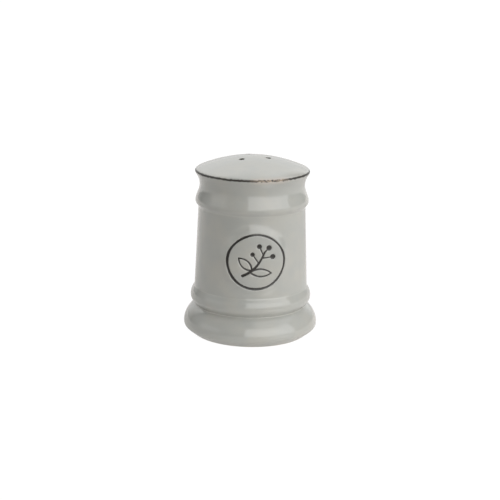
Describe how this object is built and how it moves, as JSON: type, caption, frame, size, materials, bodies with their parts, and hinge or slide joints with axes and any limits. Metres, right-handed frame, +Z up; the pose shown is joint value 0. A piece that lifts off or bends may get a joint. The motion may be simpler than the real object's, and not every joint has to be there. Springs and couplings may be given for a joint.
{
  "type": "pepper shaker",
  "caption": "Round glazed ceramic pepper shaker with a holed domed top, beaded tapering body, ringed medallion and a soft stopper that pulls out of its base for filling.",
  "frame": {"origin": "centre of the foot, on the table", "axes": "+Z up along the turning axis, medallion towards -Y"},
  "size_m": [0.06, 0.06, 0.08],
  "materials": {
    "glazed_ceramic": "glossy grey glaze, worn dark along the lip",
    "silicone": "satin, milky translucent"
  },
  "bodies": {
    "shaker": {"ceramic_body": "glazed_ceramic"},
    "stopper": {"base_stopper": "silicone"}
  },
  "joints": [
    {"name": "stopper_pull", "type": "slide", "parent": "shaker", "child": "stopper", "axis": [0, 0, -1], "range_m": [0, 0.025]}
  ]
}
